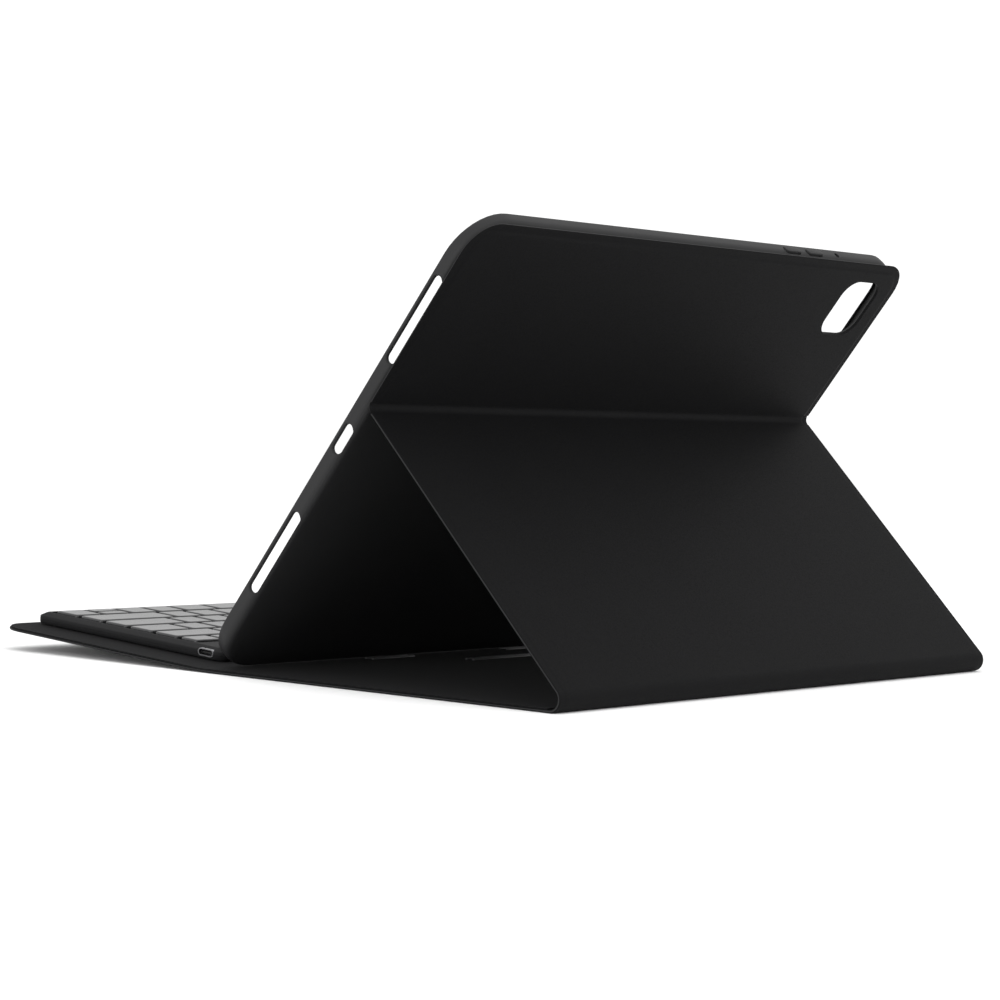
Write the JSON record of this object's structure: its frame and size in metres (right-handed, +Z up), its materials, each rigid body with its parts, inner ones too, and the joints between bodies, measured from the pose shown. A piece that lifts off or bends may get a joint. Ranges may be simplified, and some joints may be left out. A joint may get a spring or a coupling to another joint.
{
  "type": "tablet keyboard case",
  "caption": "Folding cover for a thin tablet: a soft tray on a two-fold stand, with a slim key deck lying on the front leaf. It opens out flat.",
  "frame": {"origin": "middle of the footprint, on the desk", "axes": "+X is the user's right, -Y faces the user, +Z is up"},
  "size_m": [0.287, 0.311, 0.1791],
  "materials": {
    "cover_skin": "fine-grained polyurethane leather, matt, black",
    "stiffener": "pressed fibre board",
    "lining": "short-napped microfibre, black",
    "rib_silicone": "moulded silicone, satin",
    "adhesive": "double-sided adhesive sheet",
    "tray_tpu": "soft-touch thermoplastic polyurethane, satin black",
    "magnet": "nickel-plated magnet",
    "plate_steel": "thin sheet steel",
    "keyboard_case": "satin black plastic",
    "keycap": "satin black keycap plastic",
    "foot_rubber": "rubber pad",
    "battery_foil": "pouch cell foil",
    "circuit_board": "solder-masked circuit board",
    "membrane_film": "printed contact film",
    "dome_rubber": "moulded dome rubber",
    "socket_steel": "drawn steel shell",
    "switch_plastic": "grey slider",
    "light_window": "clear light pipe"
  },
  "bodies": {
    "base": {"rear_bend_strip": "cover_skin", "base_skin": "cover_skin", "spine_board": "stiffener", "base_board_rear": "stiffener", "base_board_front": "stiffener", "base_lining": "lining", "stop_ribs": "rib_silicone", "foot_catch_plates": "plate_steel", "keyboard_catch_plates": "plate_steel"},
    "stand": {"fold_strip": "cover_skin", "stand_skin": "cover_skin", "stand_board": "stiffener", "stand_lining": "lining"},
    "tray": {"upper_skin": "cover_skin", "upper_board": "stiffener", "bond_layer": "adhesive", "tray_shell": "tray_tpu", "foot_magnets": "magnet"},
    "volume_up": {"volume_up_button": "tray_tpu"},
    "volume_down": {"volume_down_button": "tray_tpu"},
    "side_push": {"side_button": "tray_tpu"},
    "keyboard": {"keyboard_bottom_case": "keyboard_case", "keyboard_top_case": "keyboard_case", "key_plate": "keyboard_case", "keyboard_feet": "foot_rubber", "keyboard_magnets": "magnet", "battery": "battery_foil", "control_board": "circuit_board", "key_membrane": "membrane_film", "key_domes": "dome_rubber", "charging_socket": "socket_steel", "indicator_lights": "light_window"},
    "switch": {"power_switch": "switch_plastic"},
    "function_keys_body": {"function_keys": "keycap"},
    "number_keys_body": {"number_keys": "keycap"},
    "backspace_key_body": {"backspace_key": "keycap"},
    "tab_key_body": {"tab_key": "keycap"},
    "upper_letter_keys_body": {"upper_letter_keys": "keycap"},
    "caps_key_body": {"caps_key": "keycap"},
    "home_letter_keys_body": {"home_letter_keys": "keycap"},
    "return_key_body": {"return_key": "keycap"},
    "left_shift_key_body": {"left_shift_key": "keycap"},
    "lower_letter_keys_body": {"lower_letter_keys": "keycap"},
    "right_shift_key_body": {"right_shift_key": "keycap"},
    "left_modifier_keys_body": {"left_modifier_keys": "keycap"},
    "space_bar_body": {"space_bar": "keycap"},
    "right_modifier_keys_body": {"right_modifier_keys": "keycap"},
    "left_arrow_key_body": {"left_arrow_key": "keycap"},
    "up_arrow_key_body": {"up_arrow_key": "keycap"},
    "down_arrow_key_body": {"down_arrow_key": "keycap"},
    "right_arrow_key_body": {"right_arrow_key": "keycap"}
  },
  "joints": [
    {"name": "stand_bend", "type": "hinge", "parent": "base", "child": "stand", "pos_m": [0, 0.1505, 0.005], "axis": [-1, 0, 0], "range_deg": [0, 134], "deforming": ["rear_bend_strip"]},
    {"name": "cover_fold", "type": "hinge", "parent": "stand", "child": "tray", "pos_m": [0, 0.05959, 0.106], "axis": [1, 0, 0], "range_deg": [0, 82.04]},
    {"name": "volume_up_press", "type": "slide", "parent": "tray", "child": "volume_up", "axis": [0, -0.6154, -0.7882], "range_m": [0, 0.0005], "stiffness_N_per_m": 600, "springref_m": -0.0005},
    {"name": "volume_down_press", "type": "slide", "parent": "tray", "child": "volume_down", "axis": [0, -0.6154, -0.7882], "range_m": [0, 0.0005], "stiffness_N_per_m": 600, "springref_m": -0.0005},
    {"name": "side_button_press", "type": "slide", "parent": "tray", "child": "side_push", "axis": [1, 0, 0], "range_m": [0, 0.0005], "stiffness_N_per_m": 600, "springref_m": -0.0005},
    {"name": "keyboard_lift", "type": "slide", "parent": "base", "child": "keyboard", "axis": [0, 0, 1], "range_m": [0, 0.05]},
    {"name": "power_slide", "type": "slide", "parent": "keyboard", "child": "switch", "axis": [0, -0.9976, 0.0698], "range_m": [0, 0.003]},
    {"name": "function_keys_press", "type": "slide", "parent": "keyboard", "child": "function_keys_body", "axis": [0, -0.0698, -0.9976], "range_m": [0, 0.0012], "stiffness_N_per_m": 300, "springref_m": -0.001},
    {"name": "number_keys_press", "type": "slide", "parent": "keyboard", "child": "number_keys_body", "axis": [0, -0.0698, -0.9976], "range_m": [0, 0.0012], "stiffness_N_per_m": 300, "springref_m": -0.001},
    {"name": "backspace_key_press", "type": "slide", "parent": "keyboard", "child": "backspace_key_body", "axis": [0, -0.0698, -0.9976], "range_m": [0, 0.0012], "stiffness_N_per_m": 300, "springref_m": -0.001},
    {"name": "tab_key_press", "type": "slide", "parent": "keyboard", "child": "tab_key_body", "axis": [0, -0.0698, -0.9976], "range_m": [0, 0.0012], "stiffness_N_per_m": 300, "springref_m": -0.001},
    {"name": "upper_letter_keys_press", "type": "slide", "parent": "keyboard", "child": "upper_letter_keys_body", "axis": [0, -0.0698, -0.9976], "range_m": [0, 0.0012], "stiffness_N_per_m": 300, "springref_m": -0.001},
    {"name": "caps_key_press", "type": "slide", "parent": "keyboard", "child": "caps_key_body", "axis": [0, -0.0698, -0.9976], "range_m": [0, 0.0012], "stiffness_N_per_m": 300, "springref_m": -0.001},
    {"name": "home_letter_keys_press", "type": "slide", "parent": "keyboard", "child": "home_letter_keys_body", "axis": [0, -0.0698, -0.9976], "range_m": [0, 0.0012], "stiffness_N_per_m": 300, "springref_m": -0.001},
    {"name": "return_key_press", "type": "slide", "parent": "keyboard", "child": "return_key_body", "axis": [0, -0.0698, -0.9976], "range_m": [0, 0.0012], "stiffness_N_per_m": 300, "springref_m": -0.001},
    {"name": "left_shift_key_press", "type": "slide", "parent": "keyboard", "child": "left_shift_key_body", "axis": [0, -0.0698, -0.9976], "range_m": [0, 0.0012], "stiffness_N_per_m": 300, "springref_m": -0.001},
    {"name": "lower_letter_keys_press", "type": "slide", "parent": "keyboard", "child": "lower_letter_keys_body", "axis": [0, -0.0698, -0.9976], "range_m": [0, 0.0012], "stiffness_N_per_m": 300, "springref_m": -0.001},
    {"name": "right_shift_key_press", "type": "slide", "parent": "keyboard", "child": "right_shift_key_body", "axis": [0, -0.0698, -0.9976], "range_m": [0, 0.0012], "stiffness_N_per_m": 300, "springref_m": -0.001},
    {"name": "left_modifier_keys_press", "type": "slide", "parent": "keyboard", "child": "left_modifier_keys_body", "axis": [0, -0.0698, -0.9976], "range_m": [0, 0.0012], "stiffness_N_per_m": 300, "springref_m": -0.001},
    {"name": "space_bar_press", "type": "slide", "parent": "keyboard", "child": "space_bar_body", "axis": [0, -0.0698, -0.9976], "range_m": [0, 0.0012], "stiffness_N_per_m": 300, "springref_m": -0.001},
    {"name": "right_modifier_keys_press", "type": "slide", "parent": "keyboard", "child": "right_modifier_keys_body", "axis": [0, -0.0698, -0.9976], "range_m": [0, 0.0012], "stiffness_N_per_m": 300, "springref_m": -0.001},
    {"name": "left_arrow_key_press", "type": "slide", "parent": "keyboard", "child": "left_arrow_key_body", "axis": [0, -0.0698, -0.9976], "range_m": [0, 0.0012], "stiffness_N_per_m": 300, "springref_m": -0.001},
    {"name": "up_arrow_key_press", "type": "slide", "parent": "keyboard", "child": "up_arrow_key_body", "axis": [0, -0.0698, -0.9976], "range_m": [0, 0.0012], "stiffness_N_per_m": 300, "springref_m": -0.001},
    {"name": "down_arrow_key_press", "type": "slide", "parent": "keyboard", "child": "down_arrow_key_body", "axis": [0, -0.0698, -0.9976], "range_m": [0, 0.0012], "stiffness_N_per_m": 300, "springref_m": -0.001},
    {"name": "right_arrow_key_press", "type": "slide", "parent": "keyboard", "child": "right_arrow_key_body", "axis": [0, -0.0698, -0.9976], "range_m": [0, 0.0012], "stiffness_N_per_m": 300, "springref_m": -0.001}
  ],
  "couplings": [
    {"joint": "cover_fold", "follows": "stand_bend", "ratio": 0.612}
  ]
}
